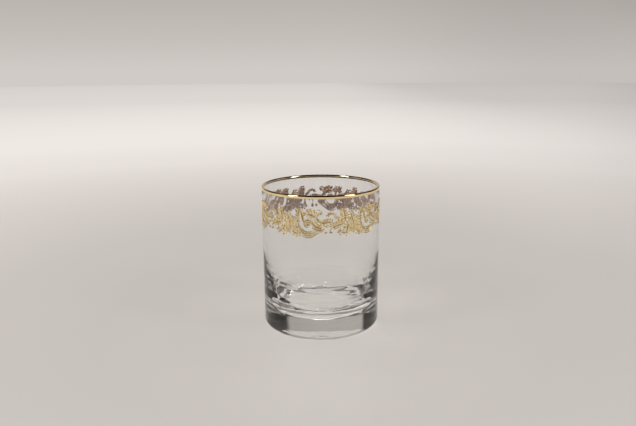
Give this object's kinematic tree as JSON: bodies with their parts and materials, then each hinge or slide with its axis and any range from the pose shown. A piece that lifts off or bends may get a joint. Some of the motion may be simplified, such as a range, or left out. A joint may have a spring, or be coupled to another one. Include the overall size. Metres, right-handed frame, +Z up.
{
  "type": "whisky glass",
  "caption": "Straight-sided clear whisky tumbler with a heavy rounded base, a gilded lip and a raised gold frieze of acanthus scrolls below it.",
  "frame": {"origin": "centre of the foot ring's plane, where the glass stands", "axes": "+Z up the glass's axis to the lip, -Y towards the front that the picture shows"},
  "size_m": [0.083, 0.083, 0.1],
  "materials": {
    "clear_glass": "clear, fire polished",
    "rim_gold": "bright burnished gold",
    "frieze_gold": "satin raised gold"
  },
  "bodies": {
    "root": {"tumbler_body": "clear_glass", "rim_gilding": "rim_gold", "scroll_low_1": "frieze_gold", "scroll_low_2": "frieze_gold", "scroll_low_3": "frieze_gold", "scroll_low_4": "frieze_gold", "scroll_low_5": "frieze_gold", "scroll_low_6": "frieze_gold", "acanthus_1": "frieze_gold", "acanthus_2": "frieze_gold", "acanthus_3": "frieze_gold", "acanthus_4": "frieze_gold", "acanthus_5": "frieze_gold", "acanthus_6": "frieze_gold", "palmette_1": "frieze_gold", "palmette_2": "frieze_gold", "palmette_3": "frieze_gold", "palmette_4": "frieze_gold", "palmette_5": "frieze_gold", "palmette_6": "frieze_gold", "scroll_high_1": "frieze_gold", "scroll_high_2": "frieze_gold", "scroll_high_3": "frieze_gold", "scroll_high_4": "frieze_gold", "scroll_high_5": "frieze_gold", "scroll_high_6": "frieze_gold", "sprig_1": "frieze_gold", "sprig_2": "frieze_gold", "sprig_3": "frieze_gold", "sprig_4": "frieze_gold", "sprig_5": "frieze_gold", "sprig_6": "frieze_gold", "tendril_1": "frieze_gold", "tendril_2": "frieze_gold", "tendril_3": "frieze_gold", "tendril_4": "frieze_gold", "tendril_5": "frieze_gold", "tendril_6": "frieze_gold", "bract_1": "frieze_gold", "bract_2": "frieze_gold", "bract_3": "frieze_gold", "bract_4": "frieze_gold", "bract_5": "frieze_gold", "bract_6": "frieze_gold", "plume_1": "frieze_gold", "plume_2": "frieze_gold", "plume_3": "frieze_gold", "plume_4": "frieze_gold", "plume_5": "frieze_gold", "plume_6": "frieze_gold", "frond_1": "frieze_gold", "frond_2": "frieze_gold", "frond_3": "frieze_gold", "frond_4": "frieze_gold", "frond_5": "frieze_gold", "frond_6": "frieze_gold"}
  },
  "joints": []
}
